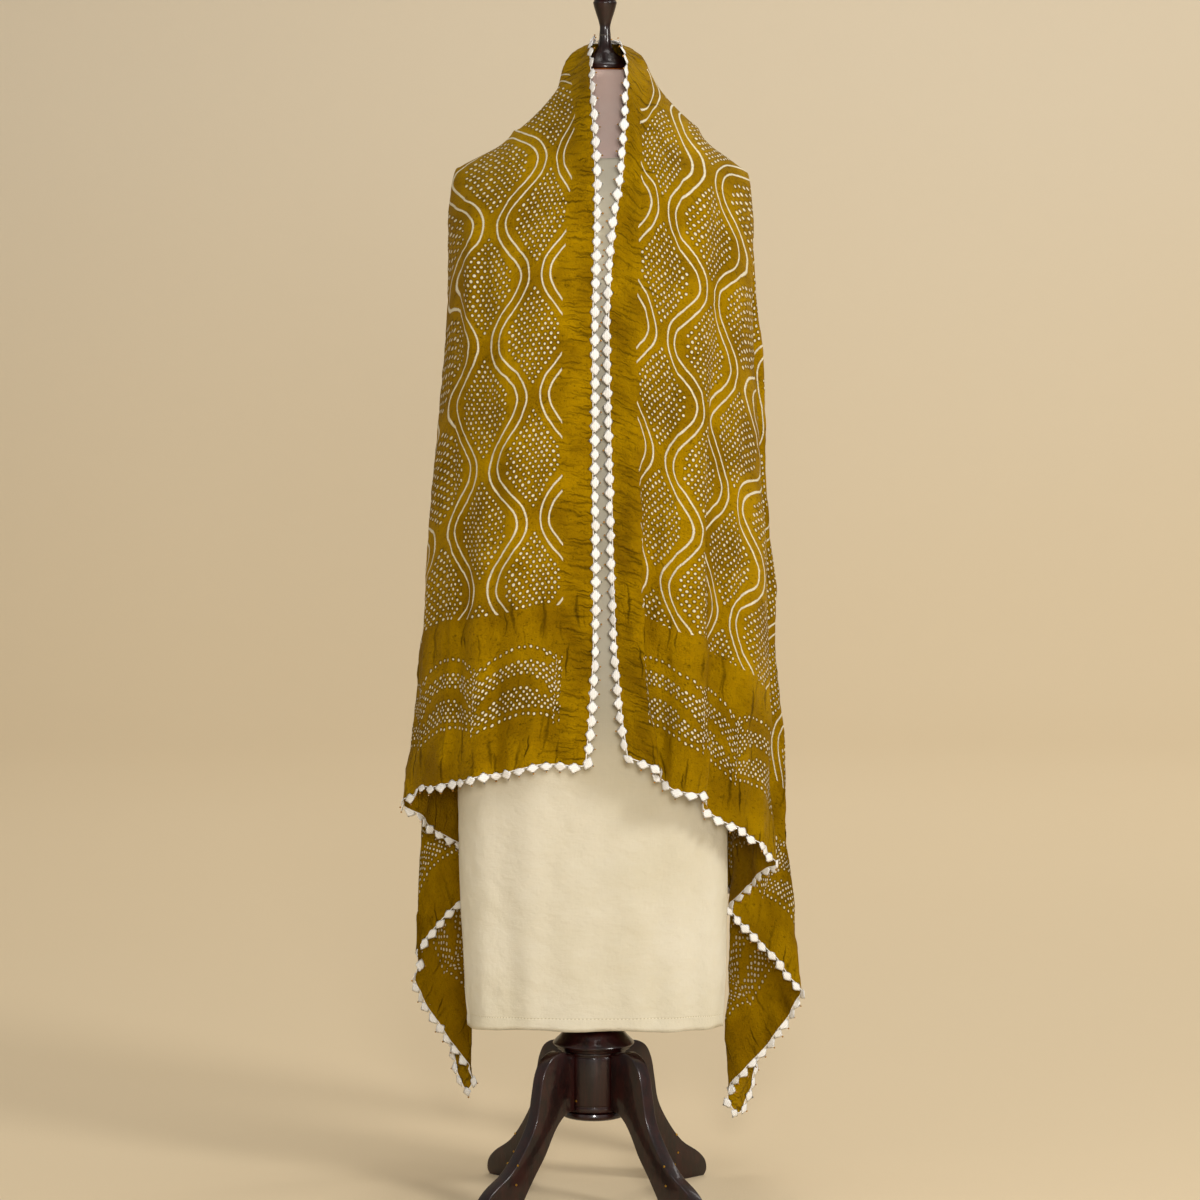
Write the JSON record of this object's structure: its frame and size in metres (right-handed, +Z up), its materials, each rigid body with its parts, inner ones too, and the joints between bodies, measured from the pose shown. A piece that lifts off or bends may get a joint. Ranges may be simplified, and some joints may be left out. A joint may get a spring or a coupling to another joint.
{
  "type": "bandhani shawl on a dress form stand",
  "caption": "Tie-dyed shawl with a crochet edging, hung open over the shoulders of a dress form on a turned wooden stand, its side corners falling in folds",
  "frame": {"origin": "on the surface that the feet stand on, under the middle of the whole thing's box", "axes": "+Z up the stand, -Y out of the front where the shawl's long edges hang, +X to the right as seen from the front"},
  "size_m": [0.5532, 0.4094, 1.69],
  "materials": {
    "cloth": "thin crinkled cotton, mustard, resist-dyed with small pale dots and lines",
    "crochet": "off-white cotton crochet with small beads",
    "linen": "plain cream cotton, matt",
    "jersey": "pale pink jersey stretched over the form",
    "mahogany": "dark red-brown wood under high-gloss varnish"
  },
  "bodies": {
    "root": {"shawl": "cloth", "edging": "crochet", "dress": "linen", "form": "jersey", "neck_cap": "mahogany", "finial": "mahogany", "pole": "mahogany", "base_collar": "mahogany", "column": "mahogany", "bottom_disc": "mahogany", "leg_1": "mahogany", "leg_2": "mahogany", "leg_3": "mahogany", "leg_4": "mahogany"}
  },
  "joints": []
}
